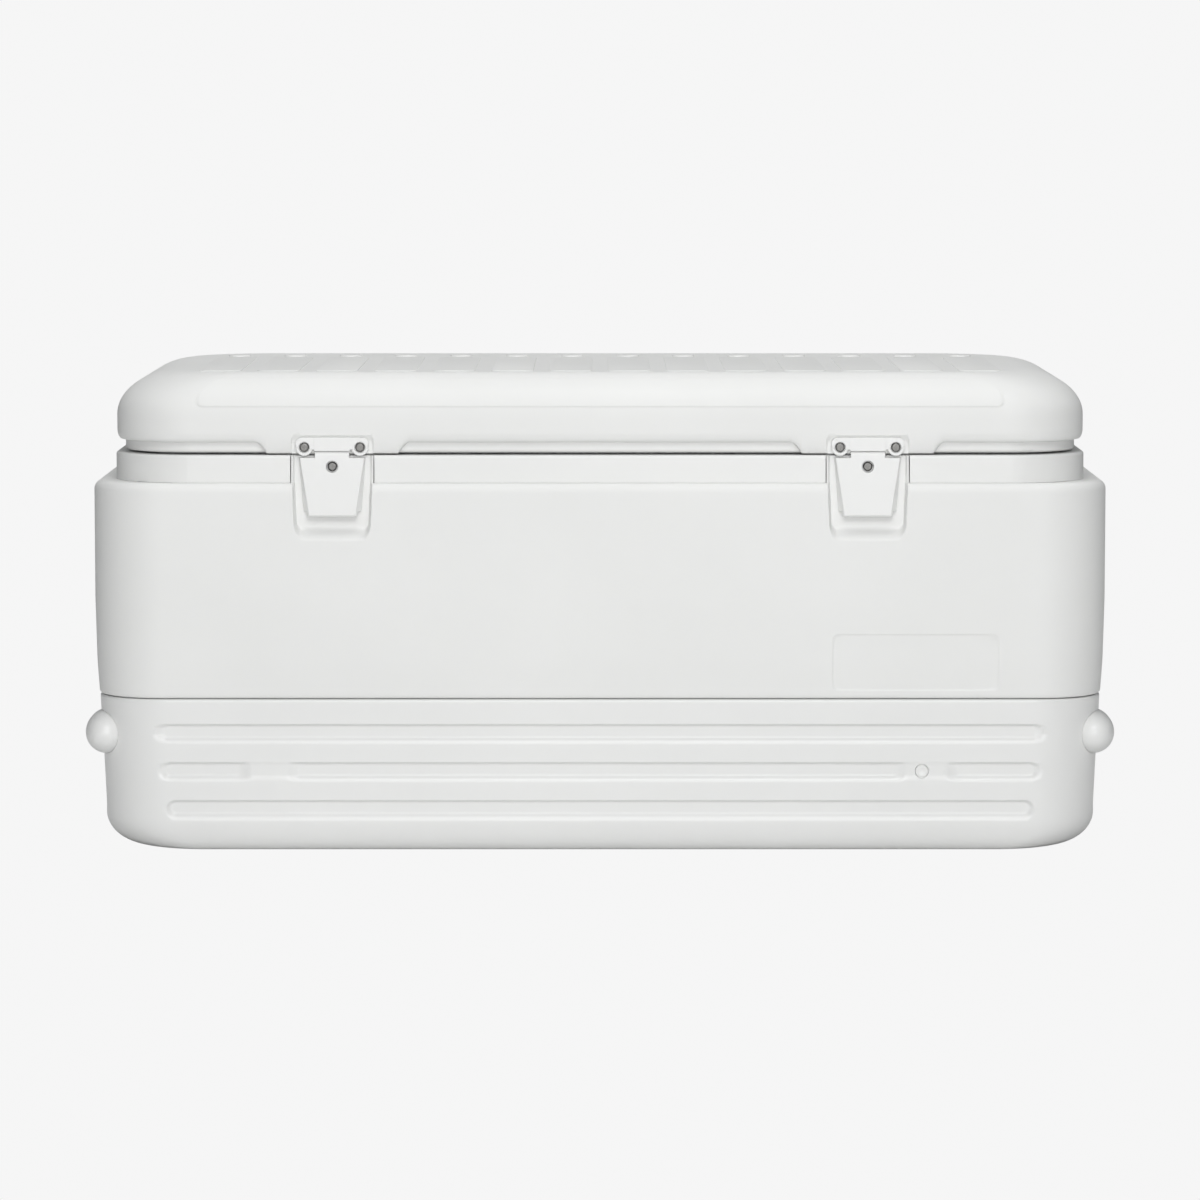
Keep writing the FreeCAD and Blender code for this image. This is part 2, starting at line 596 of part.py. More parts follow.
def latch_tongue(x):
    """Swinging half of a latch: tapered, bevelled, hollow behind, with a barrel along its top."""
    top = LATCH_AXIS_Z - TONGUE_TOP_DROP
    low = TONGUE_BOTTOM
    open_back = -TONGUE_BACK + 4.0

    def trapezium(half_top, half_low, z_top, z_low):
        return [(x - half_top, z_top), (x - half_low, z_low), (x + half_low, z_low), (x + half_top, z_top)]

    back = plate_outline(trapezium(TONGUE_HALF_TOP, TONGUE_HALF_LOW + 1.0, top, low), -TONGUE_BACK)
    face = plate_outline(trapezium(TONGUE_HALF_TOP - 1.0, TONGUE_HALF_LOW - 4.0, top, low + 5.5), -LATCH_FACE)
    skin = Part.makeLoft([back, face], True, True)
    hollow = prism(trapezium(TONGUE_HALF_TOP - 3.5, TONGUE_HALF_LOW - 3.0, top - 1.2, low - 3.0),
                   -TONGUE_SKIN, open_back)
    relief = box(x - 12.0, x + 12.0, -TONGUE_SKIN, open_back, top - 4.0, top + 4.0)
    finger_edge = box(x - 60.0, x + 60.0, -TONGUE_SKIN, open_back, low - 9.0, low + 9.0)
    solid = trim(skin, hollow, finger_edge, relief)
    centre_y = -LATCH_FACE + BARREL_R
    neck = box(x - BARREL_HALF, x + BARREL_HALF, -LATCH_FACE, centre_y, top - 3.0, LATCH_AXIS_Z)
    barrel = rod(x - BARREL_HALF, centre_y, LATCH_AXIS_Z, BARREL_R, 2.0 * BARREL_HALF, V(1, 0, 0))
    return trim(join(solid, neck, barrel), rod(x, -HALF_WIDTH, POST_Z, TONGUE_HOLE_R, 20.0, V(0, 1, 0)))


def strike_post(x):
    """Round post on the recess floor that the tongue snaps over."""
    solid = rod(x, -RECESS_FLOOR - POST_HEIGHT, POST_Z, POST_R, POST_HEIGHT, V(0, 1, 0))
    rims = [e for e in solid.Edges if e.CenterOfMass.y < -RECESS_FLOOR - POST_HEIGHT + 0.1 and e.Closed]
    return trim(solid.makeFillet(0.8, rims), rod(x, -HALF_WIDTH, POST_Z, POST_SHANK_R, 30.0, V(0, 1, 0)))


# ------------------------------------------------------------------ rear hinges

def hinge_holes(z):
    return [rod(x + dx, COLLAR_HALF_WIDTH - 8.0, z, SCREW_R, 12.0, V(0, 1, 0))
            for _, x in HINGE_XS for dx in (-HINGE_SCREW_X, HINGE_SCREW_X)]


def hinge_leaf(x, z0, z1, spans, screw_z, gap):
    """Leaf against the rear wall, with knuckles over the given x spans."""
    outer = COLLAR_HALF_WIDTH + LEAF
    leaf = soften_along(box(x - HINGE_HALF, x + HINGE_HALF, COLLAR_HALF_WIDTH, outer, z0, z1), 3.0, 1)
    for x0, x1 in spans:
        leaf = leaf.fuse(rod(x + x0, HINGE_Y, HINGE_Z, KNUCKLE_R, x1 - x0, V(1, 0, 0)))
        low, high = sorted((HINGE_Z, z1 - 2.0 if z1 < HINGE_Z else z0 + 2.0))
        leaf = leaf.fuse(box(x + x0, x + x1, COLLAR_HALF_WIDTH, outer, low, high))
    leaf = leaf.removeSplitter()
    tools = [rod(x - HINGE_HALF - 1.0, HINGE_Y, HINGE_Z, HINGE_PIN_R + gap, 2.0 * HINGE_HALF + 2.0,
                 V(1, 0, 0))]
    for dx in (-HINGE_SCREW_X, HINGE_SCREW_X):
        tools.append(rod(x + dx, COLLAR_HALF_WIDTH - 1.0, screw_z, SCREW_R, 12.0, V(0, 1, 0)))
    return trim(leaf, *tools)


# ------------------------------------------------------------------ handles

def bail_handle(side):
    """Two barrel hubs, two arms and a grip, hanging in the end recess."""
    top = V(side * (HUB_X - 1.0), 0, HUB_Z)
    low = V(side * GRIP_X, 0, GRIP_Z)
    drop = low.sub(top)
    length = drop.Length
    down = drop.multiply(1.0 / length)
    bend = GRIP_BEND

    def at(y, run):
        return V(top.x + down.x * run, y, top.z + down.z * run)

    diag = bend * (1.0 - math.sqrt(0.5))
    edges = [Part.LineSegment(at(-ARM_Y, 0), at(-ARM_Y, length - bend)).toShape(),
             Part.Arc(at(-ARM_Y, length - bend), at(-ARM_Y + diag, length - diag),
                      at(-ARM_Y + bend, length)).toShape(),
             Part.LineSegment(at(-ARM_Y + bend, length), at(ARM_Y - bend, length)).toShape(),
             Part.Arc(at(ARM_Y - bend, length), at(ARM_Y - diag, length - diag),
                      at(ARM_Y, length - bend)).toShape(),
             Part.LineSegment(at(ARM_Y, length - bend), at(ARM_Y, 0)).toShape()]
    spine = Part.Wire(edges)
    ring = Part.Wire([Part.Circle(at(-ARM_Y, 0), down, ARM_R).toShape()])
    bar = spine.makePipeShell([ring], True, True)
    grip = rod(low.x, -GRIP_HALF, low.z, GRIP_R, 2.0 * GRIP_HALF, V(0, 1, 0))
    grip = grip.makeFillet(1.6, [e for e in grip.Edges if e.Closed])
    first_rib = -RIB_PITCH * (RIB_COUNT - 1) / 2.0
    ribs = [rod(low.x, first_rib + RIB_PITCH * i, low.z, GRIP_R + RIB_RISE, RIB_WIDTH, V(0, 1, 0))
            for i in range(RIB_COUNT)]
    solid = bar.fuse([grip] + ribs + [hub_solid(side, 1), hub_solid(side, -1)]).removeSplitter()
    depth = PIN_REACH + 1.0
    bores = [rod(side * HUB_X, y, HUB_Z, PIVOT_R + FIT, depth + 5.0, V(0, 1, 0))
             for y in (-HUB_BACK - depth, HUB_BACK - 5.0)]
    return trim(solid, *bores)


# ------------------------------------------------------------------ build every node

def build():
    nodes = {"body_shell": body_shell(), "base_tray": base_tray(), "foam_port_plug": port_plug(),
             "tub_liner": tub_liner(), "body_foam": body_foam(),
             "lid_shell": lid_shell(), "lid_liner": lid_liner(), "lid_foam": lid_foam()}
    nodes.update({"drain_spigot": drain_spigot(), "drain_seal": drain_seal(), "drain_nut": drain_nut(),
                  "drain_cap": drain_cap(), "drain_cap_seal": drain_cap_seal()})
    posts, post_screws, plate_screws = [], [], []
    for side, x in (("left", -LATCH_X), ("right", LATCH_X)):
        nodes["latch_plate_" + side] = latch_plate(x)
        nodes["latch_tongue_" + side] = latch_tongue(x)
        posts.append(strike_post(x))
        post_screws.append(pan_screw(x, -RECESS_FLOOR - POST_HEIGHT, POST_Z, -1, POST_SCREW_LENGTH,
                                     POST_SHANK_R))
        plate_screws += [pan_screw(x + ear, -EAR_FACE, EAR_Z, -1, EAR_SHANK, SCREW_R)
                         for ear in (-EAR_X, EAR_X)]
    nodes["strike_posts"] = Part.Compound(posts)
    nodes["strike_post_screws"] = Part.Compound(post_screws)
    nodes["latch_plate_screws"] = Part.Compound(plate_screws)
    outer = COLLAR_HALF_WIDTH + LEAF
    screw_rows = {"hinge_body_screws": HINGE_BODY_SCREW_Z, "hinge_lid_screws": HINGE_LID_SCREW_Z}
    for name, z in screw_rows.items():
        nodes[name] = Part.Compound([pan_screw(x + dx, outer, z, 1, 6.0, SCREW_R)
                                     for _, x in HINGE_XS for dx in (-HINGE_SCREW_X, HINGE_SCREW_X)])
    near = KNUCKLE_HALF + 0.3
    outer_knuckles = [(-HINGE_HALF, -near), (near, HINGE_HALF)]
    inner_knuckle = [(-KNUCKLE_HALF, KNUCKLE_HALF)]
    for place, x in HINGE_XS:
        nodes["hinge_body_leaf_" + place] = hinge_leaf(
            x, COLLAR_BOTTOM + 1.5, COLLAR_TOP - 1.5, outer_knuckles, HINGE_BODY_SCREW_Z, 0.0)
        nodes["hinge_lid_leaf_" + place] = hinge_leaf(
            x, LID_BOTTOM + 1.0, LID_BOTTOM + 22.0, inner_knuckle, HINGE_LID_SCREW_Z, FIT)
        nodes["hinge_pin_" + place] = rod(x - PIN_HALF, HINGE_Y, HINGE_Z, HINGE_PIN_R, 2.0 * PIN_HALF,
                                          V(1, 0, 0))
    for side, name in ((-1, "left"), (1, "right")):
        nodes["bail_handle_" + name] = bail_handle(side)
        nodes["handle_pins_" + name] = pivot_pins(side)
    return nodes


os.makedirs("parts", exist_ok=True)
for node, shape in build().items():
    if not shape.isValid():
        print("not valid:", node)
    if len(shape.Solids) != 1 and not node.endswith(("screws", "posts", "_left", "_right")):
        print("solids:", node, len(shape.Solids))
    shape.exportStep(os.path.join("parts", node + ".step"))
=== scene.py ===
import bmesh
import bpy
import json
import math
import numpy as np
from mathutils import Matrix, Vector


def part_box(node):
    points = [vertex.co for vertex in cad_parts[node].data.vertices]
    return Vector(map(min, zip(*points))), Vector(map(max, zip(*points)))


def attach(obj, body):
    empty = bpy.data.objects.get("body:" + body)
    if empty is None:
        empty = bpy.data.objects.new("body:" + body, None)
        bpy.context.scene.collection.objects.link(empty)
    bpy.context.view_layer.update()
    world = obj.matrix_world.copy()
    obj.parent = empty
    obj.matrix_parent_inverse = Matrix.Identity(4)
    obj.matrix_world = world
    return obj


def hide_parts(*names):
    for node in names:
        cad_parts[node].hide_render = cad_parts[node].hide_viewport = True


# Looks of a white moulded cooler chest.  Lengths are millimetres up to the moment that a mesh is
# made, so that they read like the ones of the solids; MM turns them into metres.
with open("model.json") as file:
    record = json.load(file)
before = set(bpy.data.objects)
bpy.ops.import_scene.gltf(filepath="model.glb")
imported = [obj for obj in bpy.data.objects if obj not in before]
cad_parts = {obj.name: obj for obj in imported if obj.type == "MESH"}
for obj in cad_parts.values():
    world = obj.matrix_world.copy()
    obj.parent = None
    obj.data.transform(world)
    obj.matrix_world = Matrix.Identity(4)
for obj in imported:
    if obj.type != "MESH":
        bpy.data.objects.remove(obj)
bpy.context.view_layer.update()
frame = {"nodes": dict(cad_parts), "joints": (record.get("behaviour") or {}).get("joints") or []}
MM = 0.001


def corners_mm(node):
    low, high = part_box(node)
    return [c / MM for c in low], [c / MM for c in high]


# ---- sizes read from the frame ----
BODY_BOTTOM = corners_mm("body_shell")[0][2]
LID_TOP = corners_mm("lid_shell")[1][2]
COLLAR_TOP = corners_mm("tub_liner")[1][2]
LATCHES = [sum(c[0] for c in corners_mm("latch_tongue_" + s)) / 2.0 for s in ("left", "right")]
PIVOT = {j["child"]: [c / MM for c in j["pos_m"]] for j in frame["joints"] if "pos_m" in j}
HUB_X, _, HUB_Z = PIVOT["handle_right"]
DRAIN_X, _, DRAIN_Z = PIVOT["drain_cap"]
PLUG_LOW, PLUG_HIGH = corners_mm("foam_port_plug")
PORT_X = (PLUG_LOW[0] + PLUG_HIGH[0]) / 2.0
PORT_Z = (PLUG_LOW[2] + PLUG_HIGH[2]) / 2.0
PORT_R = (PLUG_HIGH[0] - PLUG_LOW[0]) / 2.0

# ---- body shell ----
BODY_CORE = (411.5, 150.0)       # centres of the plan's corner arcs
BODY_WALL_Z = (145.0, 147.0, 176.0, 235.0)      # heights of the four sizes below
BODY_WALL_X = (473.6, 474.0, 476.0, 477.5)
BODY_WALL_Y = (213.4, 213.8, 215.2, 216.0)
BODY_FOOT_R = 2.4
BODY_SIDE = (149.0, 337.0)       # height of the wall between foot and shoulder
LEDGE = 347.0
SHOULDER_Z = 338.0
SHOULDER = (9.0, 5.0, 9.0)       # rounding of the shoulder at the ends, at the front and in height
BODY_INSIDE = [(448.0, 200.0, 343.0), (462.0, 200.0, 336.0), (462.0, 200.0, 160.0),
               (469.8, 209.8, 157.5), (469.8, 209.8, 146.0)]    # inner wall, downwards
RECESS_Y = 205.5
RECESS_HALF = 38.5
RECESS_LEAN = 3.0
RECESS_BOTTOM = 293.0
RECESS_RAMP = 13.0
BADGE = (217.0, 374.0, 152.0, 206.0)            # x from, x to, z from, z to
BADGE_DEPTH = 0.9
BADGE_R = 7.0

# ---- base tray ----
TRAY_CORE = (407.5, 147.5)
TRAY_TOP = 144.2
TRAY_FOOT = (468.6, 211.0)       # half length and half width where the wall turns under
TRAY_BROW = (473.6, 213.5)       # the same at the top
TRAY_RIM_R = 2.5
TRAY_INSIDE = [(466.0, 206.0, TRAY_TOP), (466.0, 206.0, 153.0), (465.0, 205.0, 154.0),
               (462.6, 202.6, 154.0), (462.6, 202.6, 134.0), (444.0, 186.0, 130.0),
               (444.0, 186.0, 12.0), (430.0, 175.0, 5.0)]       # rim and inner wall, downwards
TRAY_TURN = 32.0                 # height where the wall starts to turn under
TRAY_TURN_IN = (38.0, 17.0)      # how far it turns in, at the ends and at the front
CHANNELS = [(111.5, 417.0), (75.5, 413.0), (39.5, 408.0)]       # height and half length
CHANNEL_HALF = 9.6
CHANNEL_DEPTH = 3.4
CHANNEL_EASE = (8.8, 2.6)        # width of a channel's lower and upper slope
PADDED = 1                       # the channel that has pads in it
PADS = [(-331.0, -290.0), (284.0, 328.0)]
PAD_SHARE = 0.85                 # how far a pad fills its channel
PAD_EASE = (8.0, 13.0)           # how far a pad's slope starts outside it, and its length
HANDLE_RECESS = (448.0, 162.0, 28.0, 128.0)     # floor x, half width, z from, z to
DRAIN_HALF = 28.0
DRAIN_FLOOR = 190.0
HUB_R = 20.5
HUB_NOSE = (-160.0, 38.0)        # where the rounded nose starts, and its length
HUB_BACK = -146.0
HUB_ROUND = 2.4                  # exponent of the nose; 2 is an ellipse
HUB_GAP = 0.35
LUG_R = 10.0
LUG_RIM = 0.6
LUG_LENGTH = 12.0
LUG_STARTS = (-145.0, 133.0)
PORT_DEPTH = 4.2
PORT_FACE = -208.6

# ---- latches ----
EAR_X = 26.0                     # screw ears, out from the latch's middle
EAR_Z = 380.5
SLOT = (8.1, 9.4, -216.0, -206.0)               # inner and outer radius, y from, y to

# ---- lid ----
LID_CORE = (384.5, 137.0)
LID_R = 72.0
LID_WALL = 7.5
LID_TUCK = 4.2                   # how far the lid's edge turns in
LID_EDGE = 385.0
TAB_EDGE = 374.4
TAB_HALF = 62.5
CROWN_Z = 408.0
CROWN_TOP = 449.6
CROWN_IN = (60.0, 26.0)
POCKET_TOP = 390.1
POCKET_Y = 206.5
POCKET_R = 5.0
POCKET_GAP = 0.4
PANEL = (372.0, 379.0, 417.5, 445.0)            # half length low and high, z from, z to
PANEL_RISE = 0.7
PANEL_R = 8.0
PAD_COUNT = 14
PAD_PITCH = 55.0


# ------------------------------------------------------------------ shared mesh tools

def ramp(t):
    t = np.clip(t, 0.0, 1.0)
    return t * t * (3.0 - 2.0 * t)


def spaced(low, high, coarse, zones=()):
    """Positions from low to high, coarse apart, and closer inside each (from, to, step) zone."""
    stops = [low]
    while stops[-1] < high - 1e-6:
        here = stops[-1] + 1e-6
        step = min([coarse] + [s for z0, z1, s in zones if z0 <= here < z1])
        starts = [z0 for z0, _, _ in zones if z0 > here]
        stops.append(min([stops[-1] + step, high] + starts))
    return stops


def columns(core, front, back, ends):
    """Upright lines around a rounded rectangle, as (share of core x, share of core y, normal x, y)."""
    a, b = core
    fine = list(range(0, 19, 1)) + list(range(22, 90, 4))
    quarter = [math.radians(t) for t in fine]
    lines = [(x / a, -1.0, 0.0, -1.0) for x in front]
    lines += [(1.0, -1.0, math.cos(t), -math.sin(t)) for t in reversed(quarter[1:])]
    lines += [(1.0, y / b, 1.0, 0.0) for y in ends]
    lines += [(1.0, 1.0, math.cos(t), math.sin(t)) for t in quarter[1:]]
    lines += [(x / a, 1.0, 0.0, 1.0) for x in reversed(back)]
    lines += [(-1.0, 1.0, -math.cos(t), math.sin(t)) for t in reversed(quarter[1:])]
    lines += [(-1.0, y / b, -1.0, 0.0) for y in reversed(ends)]
    lines += [(-1.0, -1.0, -math.cos(t), -math.sin(t)) for t in quarter[1:]]
    return np.array(lines)


def loft(lines, rows):
    """Points of every (core x, core y, radius x, radius y, z) row on every upright line."""
    rows = np.array(rows, float)
    x = rows[:, 0:1] * lines[:, 0] + rows[:, 2:3] * lines[:, 2]
    y = rows[:, 1:2] * lines[:, 1] + rows[:, 3:4] * lines[:, 3]
    z = np.repeat(rows[:, 4:5], len(lines), axis=1)
    return np.stack([x, y, z], axis=2)


def solid_from_grid(name, points, ring=False):
    """Closed mesh over a grid of rows; a ring joins its last row to its first, else both are capped."""
    count, around = points.shape[:2]
    index = np.arange(count * around).reshape(count, around)
    pairs = list(zip(range(count), list(range(1, count)) + ([0] if ring else [])))
    faces = []
    for low, high in pairs:
        a = index[low]
        b = index[high]
        faces += np.stack([a, np.roll(a, -1), np.roll(b, -1), b], axis=1).tolist()
    if not ring:
        faces.append(index[0][::-1].tolist())
        faces.append(index[-1].tolist())
    mesh = bpy.data.meshes.new(name)
    mesh.from_pydata((points.reshape(-1, 3) * MM).tolist(), [], faces)
    mesh.update()
    return place(name, mesh)


def place(name, mesh):
    piece = bpy.data.objects.new(name, mesh)
    bpy.context.scene.collection.objects.link(piece)
    return piece


def apply_modifiers(piece):
    graph = bpy.context.evaluated_depsgraph_get()
    mesh = bpy.data.meshes.new_from_object(piece.evaluated_get(graph))
    piece.modifiers.clear()
    piece.data = mesh


def combine(piece, tools, operation):
    """Cut tools away from piece, or add them to it; the tools are used up."""
    for tool in tools:
        change = piece.modifiers.new("combine", "BOOLEAN")
        change.operation = operation
        change.solver = "MANIFOLD"
        change.object = tool
    bpy.context.view_layer.update()
    apply_modifiers(piece)
    for tool in tools:
        bpy.data.objects.remove(tool)


def shade(piece, sharp=38.0):
    """Smooth shading that keeps real corners crisp."""
    mesh = piece.data
    mesh.shade_smooth()
    mesh.set_sharp_from_angle(angle=math.radians(sharp))


def finish_piece(piece, body, slot, material, *nodes):
    piece.data.materials.clear()
    piece.data.materials.append(material)
    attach(piece, body)
    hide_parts(*nodes)
    return piece


def lathe_y(name, profile, x, z, steps=64, flip=False):
    """Closed solid of revolution about a line along Y; profile is (y, radius) from end to end."""
    sign = -1.0 if flip else 1.0
    turns = np.linspace(0.0, 2.0 * math.pi, steps, endpoint=False)
    rows = []
    for y, radius in profile:
        rows.append(np.stack([x - sign * radius * np.cos(turns), np.full(steps, sign * y),
                              z + radius * np.sin(turns)], axis=1))
    return solid_from_grid(name, np.array(rows))


def rounded_block(name, low, high, radius, axis, rim):
    """Block with round corners across axis (0, 1 or 2) and a softly rounded rim at its high end."""
    u, v = [i for i in range(3) if i != axis]
    half = [(high[i] - low[i]) / 2.0 for i in (u, v)]
    centre = [(high[i] + low[i]) / 2.0 for i in (u, v)]
    core = (half[0] - radius, half[1] - radius)
    turns = [math.radians(t) for t in range(0, 91, 10)]
    lines = []
    for sx, sy in ((1, 1), (-1, 1), (-1, -1), (1, -1)):
        arc = [(math.cos(t), math.sin(t)) for t in turns]
        arc = arc if sx * sy > 0 else arc[::-1]
        lines += [(sx, sy, sx * c, sy * s) for c, s in arc]
    lines = np.array(lines, float)
    rows = [(radius, low[axis])]
    rows += [(radius - rim * (1 - math.cos(t)), high[axis] - rim * (1 - math.sin(t)))
             for t in turns[::3]]
    if axis == 1:
        lines = lines[::-1]
    grid = []
    for r, level in rows:
        point = np.zeros((len(lines), 3))
        point[:, u] = centre[0] + core[0] * lines[:, 0] + r * lines[:, 2]
        point[:, v] = centre[1] + core[1] * lines[:, 1] + r * lines[:, 3]
        point[:, axis] = level
        grid.append(point)
    return solid_from_grid(name, np.array(grid))


# ------------------------------------------------------------------ materials

def new_material(name):
    material = bpy.data.materials.new(name)
    material.use_nodes = True
    tree = material.node_tree
    return material, tree, tree.nodes["Principled BSDF"]


def add_noise(tree, scale, detail=2.0, stretch=(1.0, 1.0, 1.0)):
    place_node = tree.nodes.new("ShaderNodeTexCoord")
    mapping = tree.nodes.new("ShaderNodeMapping")
    mapping.inputs["Scale"].default_value = stretch
    noise = tree.nodes.new("ShaderNodeTexNoise")
    noise.inputs["Scale"].default_value = scale
    noise.inputs["Detail"].default_value = detail
    tree.links.new(place_node.outputs["Object"], mapping.inputs["Vector"])
    tree.links.new(mapping.outputs["Vector"], noise.inputs["Vector"])
    return noise.outputs["Fac"]


def add_bump(tree, height, strength, distance, below=None):
    bump = tree.nodes.new("ShaderNodeBump")
    bump.inputs["Strength"].default_value = strength
    bump.inputs["Distance"].default_value = distance
    tree.links.new(height, bump.inputs["Height"])
    if below is not None:
        tree.links.new(below, bump.inputs["Normal"])
    return bump.outputs["Normal"]


def blend_colors(tree, factor, first, second):
    mix = tree.nodes.new("ShaderNodeMix")
    mix.data_type = "RGBA"
    mix.inputs[6].default_value = (*first, 1.0)
    mix.inputs[7].default_value = (*second, 1.0)
    tree.links.new(factor, mix.inputs[0])
    return mix.outputs[2]


def spread_values(tree, value, low, high):
    remap = tree.nodes.new("ShaderNodeMapRange")
    remap.inputs["From Min"].default_value = 0.3
    remap.inputs["From Max"].default_value = 0.7
    remap.inputs["To Min"].default_value = low
    remap.inputs["To Max"].default_value = high
    tree.links.new(value, remap.inputs["Value"])
    return remap.outputs["Result"]


def moulded_plastic(name, light, dark, roughness, grain, wave, coat=0.0):
    """White moulded plastic: fine mould grain, slow sink waves and a slightly uneven tone and gloss."""
    material, tree, shader = new_material(name)
    tone = add_noise(tree, 5.0, 3.0)
    tree.links.new(blend_colors(tree, spread_values(tree, tone, 0.0, 1.0), light, dark),
                   shader.inputs["Base Color"])
    gloss = add_noise(tree, 12.0, 2.0)
    tree.links.new(spread_values(tree, gloss, roughness - 0.02, roughness + 0.03),
                   shader.inputs["Roughness"])
    waves = add_bump(tree, add_noise(tree, 7.0, 1.0), 1.0, wave)
    tree.links.new(add_bump(tree, add_noise(tree, 1300.0, 3.0), 0.5, grain, waves),
                   shader.inputs["Normal"])
    shader.inputs["IOR"].default_value = 1.49
    shader.inputs["Coat Weight"].default_value = coat
    shader.inputs["Coat Roughness"].default_value = 0.25
    shader.inputs["Subsurface Weight"].default_value = 0.06
    shader.inputs["Subsurface Radius"].default_value = (0.004, 0.004, 0.0035)
    return material


def stainless():
    material, tree, shader = new_material("stainless_steel")
    lines = add_noise(tree, 700.0, 3.0, (1.0, 1.0, 0.12))
    tree.links.new(blend_colors(tree, lines, (0.16, 0.158, 0.152), (0.27, 0.266, 0.258)),
                   shader.inputs["Base Color"])
    tree.links.new(spread_values(tree, lines, 0.38, 0.52), shader.inputs["Roughness"])
    tree.links.new(add_bump(tree, lines, 0.3, 0.00003), shader.inputs["Normal"])
    shader.inputs["Metallic"].default_value = 1.0
    return material


def black_rubber():
    material, tree, shader = new_material("black_rubber")
    dust = add_noise(tree, 120.0, 5.0)
    tree.links.new(blend_colors(tree, dust, (0.018, 0.018, 0.018), (0.05, 0.05, 0.048)),
                   shader.inputs["Base Color"])
    tree.links.new(add_bump(tree, add_noise(tree, 2200.0), 0.4, 0.00006), shader.inputs["Normal"])
    shader.inputs["Roughness"].default_value = 0.72
    return material


def rigid_foam():
    material, tree, shader = new_material("rigid_foam")
    cells = tree.nodes.new("ShaderNodeTexVoronoi")
    cells.inputs["Scale"].default_value = 700.0
    place_node = tree.nodes.new("ShaderNodeTexCoord")
    tree.links.new(place_node.outputs["Object"], cells.inputs["Vector"])
    tree.links.new(blend_colors(tree, add_noise(tree, 40.0), (0.80, 0.73, 0.50), (0.88, 0.82, 0.62)),
                   shader.inputs["Base Color"])
    tree.links.new(add_bump(tree, cells.outputs["Distance"], 0.7, 0.0004), shader.inputs["Normal"])
    shader.inputs["Roughness"].default_value = 0.9
    return material


SHELL = moulded_plastic("shell_plastic", (0.84, 0.842, 0.83), (0.815, 0.818, 0.805),
                        0.48, 0.00008, 0.0004)
BASE = moulded_plastic("base_plastic", (0.84, 0.842, 0.832), (0.815, 0.818, 0.808),
                       0.33, 0.00001, 0.0005, 0.2)
LATCH = moulded_plastic("latch_plastic", (0.85, 0.852, 0.842), (0.83, 0.832, 0.822),
                        0.36, 0.00001, 0.0001, 0.15)
LINER = moulded_plastic("liner_plastic", (0.83, 0.832, 0.82), (0.80, 0.803, 0.79),
                        0.30, 0.00001, 0.0003, 0.15)
STEEL = stainless()
RUBBER = black_rubber()
FOAM = rigid_foam()


# ------------------------------------------------------------------ body shell

def latch_recess_mask(x, z):
    """1 on the floor of a latch recess, 0 outside it, easing across its walls and its bottom ramp."""
    mask = np.zeros_like(x)
    for centre in LATCHES:
        share = np.clip((z - RECESS_BOTTOM) / (COLLAR_TOP - RECESS_BOTTOM), 0.0, 1.0)
        inside = RECESS_HALF - RECESS_LEAN * (1.0 - share) - np.abs(x - centre)
        side = np.clip(1.0 - inside / 10.0, 0.0, 2.0)
        foot = np.clip(1.0 - (z - RECESS_BOTTOM) / (RECESS_RAMP + 2.0), 0.0, 2.0)
        reach = 1.0 - np.hypot(side, foot)
        width = (0.26 * side + 0.9 * foot) / np.maximum(side + foot, 1e-6)
        mask = np.maximum(mask, np.where(side + foot > 0, ramp(reach / np.maximum(width, 1e-6)), 1.0))
    return mask


def body_half(z):
    """Half length and half width of the body at height z."""
    return np.interp(z, BODY_WALL_Z, BODY_WALL_X), np.interp(z, BODY_WALL_Z, BODY_WALL_Y)


def body_rows():
    """Rows of the body from its foot up and down the inside, and the number of rows on its skin."""
    a, b = BODY_CORE

    def row(hx, hy, z):
        return (a, b, hx - a, hy - b, z)

    rows = []
    for t in (90, 60, 30, 0):
        tuck = BODY_FOOT_R * (1.0 - math.cos(math.radians(t)))
        z = BODY_BOTTOM + BODY_FOOT_R * (1.0 - math.sin(math.radians(t)))
        hx, hy = body_half(z)
        rows.append(row(hx - tuck, hy - tuck, z))
    zones = [(150.0, 155.0, 0.6), (203.0, 208.0, 0.6), (291.0, 312.0, 1.0), (312.0, 337.0, 3.0)]
    for z in spaced(*BODY_SIDE, 6.0, zones):
        rows.append(row(*body_half(z), z))
    for t in range(0, 91, 9):
        s, c = math.sin(math.radians(t)), math.cos(math.radians(t))
        rows.append(row(BODY_WALL_X[-1] - SHOULDER[0] * (1 - c), BODY_WALL_Y[-1] - SHOULDER[1] * (1 - c),
                        SHOULDER_Z + SHOULDER[2] * s))
    outer = len(rows)
    rows += [row(467.0, RECESS_Y, LEDGE), row(448.0, RECESS_Y - 4.0, LEDGE)]
    rows += [row(*size) for size in BODY_INSIDE]
    return rows, outer


